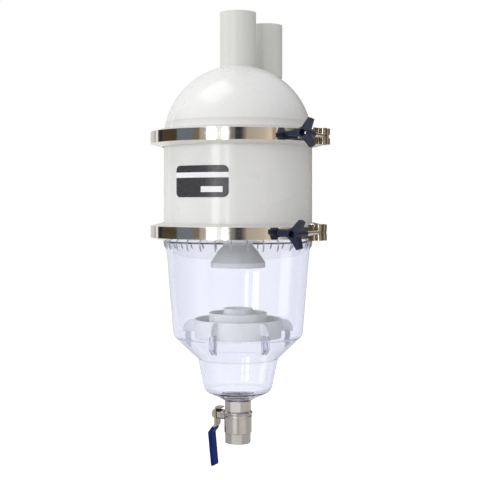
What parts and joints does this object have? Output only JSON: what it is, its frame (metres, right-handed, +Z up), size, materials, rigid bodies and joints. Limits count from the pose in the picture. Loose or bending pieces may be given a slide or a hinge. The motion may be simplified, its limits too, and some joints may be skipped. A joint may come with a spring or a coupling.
{
  "type": "cyclone separator",
  "caption": "White domed cyclone separator with inlet and outlet pipes on top, steel band clamps with knobs, a clear sediment bowl with a baffle, and a lever ball valve that drains it.",
  "frame": {"origin": "centre of the outlet pipe's top end, where the plumbing above holds the part", "axes": "+Z up along the vessel's axis, the front faces -Y, +X to the right"},
  "size_m": [0.3077, 0.3356, 0.7932],
  "materials": {
    "white_shell": "smooth glossy white moulding",
    "white_pipe": "semi-gloss light grey-white plastic pipe",
    "grey_moulding": "matt warm white moulding",
    "seal_rubber": "smooth black rubber",
    "clear_bowl": "clear moulding with a faint lavender tint",
    "polished_steel": "polished stainless steel sheet",
    "knob_plastic": "fine-grained dark navy plastic",
    "nickel_plate": "satin nickel plate on cast brass",
    "seat_plastic": "white seat rings",
    "ball_chrome": "polished ball",
    "lever_steel": "zinc-plated steel",
    "grip_vinyl": "dipped blue vinyl"
  },
  "bodies": {
    "vessel": {"dome": "white_shell", "body_shell": "white_shell", "body_top_flange": "white_shell", "body_low_flange": "white_shell", "outlet_pipe": "white_pipe", "inlet_pipe": "white_pipe", "riser_tube": "grey_moulding", "intake_bell": "grey_moulding", "sediment_baffle": "grey_moulding", "baffle_middle_ring": "grey_moulding", "baffle_inner_ring": "grey_moulding", "upper_seal": "seal_rubber", "lower_seal": "seal_rubber", "sediment_bowl": "clear_bowl", "bowl_flange": "clear_bowl", "bowl_gussets": "clear_bowl", "bowl_cup": "clear_bowl", "bowl_lugs": "clear_bowl", "upper_clamp_band": "polished_steel", "upper_near_loop": "polished_steel", "upper_far_loop": "polished_steel", "upper_t_bolt": "polished_steel", "upper_trunnion": "polished_steel", "upper_sleeve": "polished_steel", "lower_clamp_band": "polished_steel", "lower_near_loop": "polished_steel", "lower_far_loop": "polished_steel", "lower_t_bolt": "polished_steel", "lower_trunnion": "polished_steel", "lower_sleeve": "polished_steel", "valve_end_cap": "nickel_plate", "valve_body": "nickel_plate", "gland_nut": "nickel_plate", "upper_ball_seat": "seat_plastic", "lower_ball_seat": "seat_plastic"},
    "valve_handle": {"valve_lever": "lever_steel", "lever_grip": "grip_vinyl", "lever_nut": "lever_steel", "valve_stem": "nickel_plate", "valve_ball": "ball_chrome"},
    "upper_knob": {"upper_knob": "knob_plastic"},
    "lower_knob": {"lower_knob": "knob_plastic"}
  },
  "joints": [
    {"name": "valve_turn", "type": "hinge", "parent": "vessel", "child": "valve_handle", "pos_m": [0, 0, -0.7021], "axis": [0.9063, -0.4226, 0], "range_deg": [0, 90]},
    {"name": "upper_knob_turn", "type": "hinge", "parent": "vessel", "child": "upper_knob", "pos_m": [0.14682, -0.06232, -0.219], "axis": [-0.3907, -0.9205, 0], "continuous": true},
    {"name": "lower_knob_turn", "type": "hinge", "parent": "vessel", "child": "lower_knob", "pos_m": [0.1395, -0.07733, -0.3806], "axis": [-0.4848, -0.8746, 0], "continuous": true}
  ]
}
